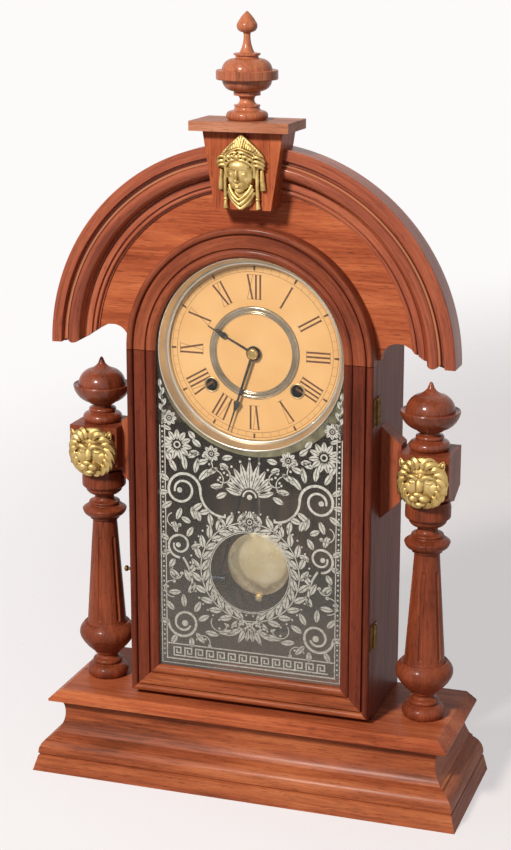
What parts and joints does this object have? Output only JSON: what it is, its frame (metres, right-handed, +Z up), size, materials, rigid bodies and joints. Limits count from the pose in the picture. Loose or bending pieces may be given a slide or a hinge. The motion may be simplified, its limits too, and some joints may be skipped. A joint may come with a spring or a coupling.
{
  "type": "shelf clock",
  "caption": "Walnut kitchen shelf clock with a stepped base, turned side columns, arched pediment and urn finial, glazed arched door, Roman dial and a pendulum.",
  "frame": {"origin": "centre of the base's underside", "axes": "+X right seen from the front, the dial faces -Y, +Z up"},
  "size_m": [0.36, 0.124, 0.6222],
  "materials": {
    "walnut": "satin oiled walnut, red brown",
    "pine": "unfinished softwood",
    "gilt_brass": "gilt pressed brass, satin",
    "brass": "aged brass",
    "zinc": "dull zinc sheet",
    "steel": "drawn steel",
    "blued_steel": "blued steel",
    "iron": "black lacquer",
    "paper": "aged cream paper",
    "glass": "clear sheet glass"
  },
  "bodies": {
    "case": {"base_front": "walnut", "base_returns": "walnut", "base_back": "pine", "base_top": "walnut", "case_side_left": "walnut", "case_side_right": "walnut", "case_top": "pine", "backboard": "pine", "pediment_panel": "walnut", "pediment_arch": "walnut", "keystone": "walnut", "keystone_cap": "walnut", "urn_finial": "walnut", "column_left": "walnut", "column_right": "walnut", "column_finials": "walnut", "brackets": "walnut", "lion_masks": "gilt_brass", "lady_mask": "gilt_brass", "hinges_case": "brass", "dial_pan": "zinc", "paper_dial": "paper", "bezel": "brass", "centre_ring": "brass", "eyelets": "brass", "dial_blocks": "pine", "screws": "steel", "front_plate": "brass", "back_plate": "brass", "pillars": "brass", "mainsprings": "blued_steel", "gong": "blued_steel", "gong_block": "iron"},
    "door": {"door_arch": "walnut", "door_stile_left": "walnut", "door_stile_right": "walnut", "door_rail": "walnut", "glass": "glass", "glazing_strip": "pine", "hinges_door": "brass", "door_knob": "brass"},
    "hook": {"door_hook": "brass"},
    "time_winding": {"time_winding_arbor": "steel"},
    "strike_winding": {"strike_winding_arbor": "steel"},
    "time_great": {"time_great_wheel": "brass"},
    "strike_great": {"strike_great_wheel": "brass"},
    "second": {"second_wheel": "brass"},
    "centre": {"centre_wheel": "brass", "minute_hand": "blued_steel", "hand_nut": "brass"},
    "hour": {"hour_wheel": "brass", "hour_hand": "blued_steel"},
    "minute": {"minute_wheel": "brass"},
    "third": {"third_wheel": "brass"},
    "escape": {"escape_wheel": "brass"},
    "verge_body": {"verge": "steel"},
    "pendulum": {"pendulum_rod": "steel", "bob": "brass", "rating_nut": "brass"},
    "hammer_body": {"hammer": "steel"}
  },
  "joints": [
    {"name": "door_swing", "type": "hinge", "parent": "case", "child": "door", "pos_m": [0.1022, -0.0208, 0.2605], "axis": [0, 0, 1], "range_deg": [0, 95]},
    {"name": "hook_swing", "type": "hinge", "parent": "case", "child": "hook", "pos_m": [-0.1026, -0.004, 0.1753], "axis": [1, 0, 0], "range_deg": [0, 270]},
    {"name": "minute_hand_turn", "type": "hinge", "parent": "case", "child": "centre", "pos_m": [0, 0, 0.3605], "axis": [0, 1, 0], "continuous": true},
    {"name": "hour_hand_turn", "type": "hinge", "parent": "case", "child": "hour", "pos_m": [0, 0, 0.3605], "axis": [0, 1, 0], "continuous": true},
    {"name": "minute_wheel_turn", "type": "hinge", "parent": "case", "child": "minute", "pos_m": [0.01579, 0, 0.35475], "axis": [0, 1, 0], "continuous": true},
    {"name": "second_wheel_turn", "type": "hinge", "parent": "case", "child": "second", "pos_m": [0.02349, 0, 0.36541], "axis": [0, 1, 0], "continuous": true},
    {"name": "time_great_turn", "type": "hinge", "parent": "case", "child": "time_great", "pos_m": [0.0354, 0, 0.3325], "axis": [0, 1, 0], "continuous": true},
    {"name": "third_wheel_turn", "type": "hinge", "parent": "case", "child": "third", "pos_m": [-0.01729, 0, 0.37627], "axis": [0, 1, 0], "continuous": true},
    {"name": "escape_wheel_turn", "type": "hinge", "parent": "case", "child": "escape", "pos_m": [0, 0, 0.3855], "axis": [0, 1, 0], "continuous": true},
    {"name": "time_winding", "type": "hinge", "parent": "case", "child": "time_winding", "pos_m": [0.0354, 0, 0.3325], "axis": [0, 1, 0], "continuous": true},
    {"name": "strike_winding", "type": "hinge", "parent": "case", "child": "strike_winding", "pos_m": [-0.0354, 0, 0.3325], "axis": [0, 1, 0], "continuous": true},
    {"name": "strike_great_turn", "type": "hinge", "parent": "case", "child": "strike_great", "pos_m": [-0.0354, 0, 0.3325], "axis": [0, 1, 0], "continuous": true},
    {"name": "pendulum_swing", "type": "hinge", "parent": "case", "child": "pendulum", "pos_m": [0, 0, 0.4045], "axis": [0, 1, 0], "range_deg": [-4, 4]},
    {"name": "verge_rock", "type": "hinge", "parent": "case", "child": "verge_body", "pos_m": [0, 0, 0.4045], "axis": [0, 1, 0], "range_deg": [-4, 4]},
    {"name": "hammer_lift", "type": "hinge", "parent": "case", "child": "hammer_body", "pos_m": [-0.008, 0, 0.3125], "axis": [0, 1, 0], "range_deg": [0, 8]}
  ],
  "couplings": [
    {"joint": "hour_hand_turn", "follows": "minute_hand_turn", "ratio": 0.083333},
    {"joint": "minute_wheel_turn", "follows": "minute_hand_turn", "ratio": -0.33333},
    {"joint": "second_wheel_turn", "follows": "minute_hand_turn", "ratio": -0.2},
    {"joint": "time_great_turn", "follows": "minute_hand_turn", "ratio": 0.033333},
    {"joint": "third_wheel_turn", "follows": "minute_hand_turn", "ratio": -5.5},
    {"joint": "escape_wheel_turn", "follows": "minute_hand_turn", "ratio": 33},
    {"joint": "verge_rock", "follows": "pendulum_swing", "ratio": 1}
  ]
}
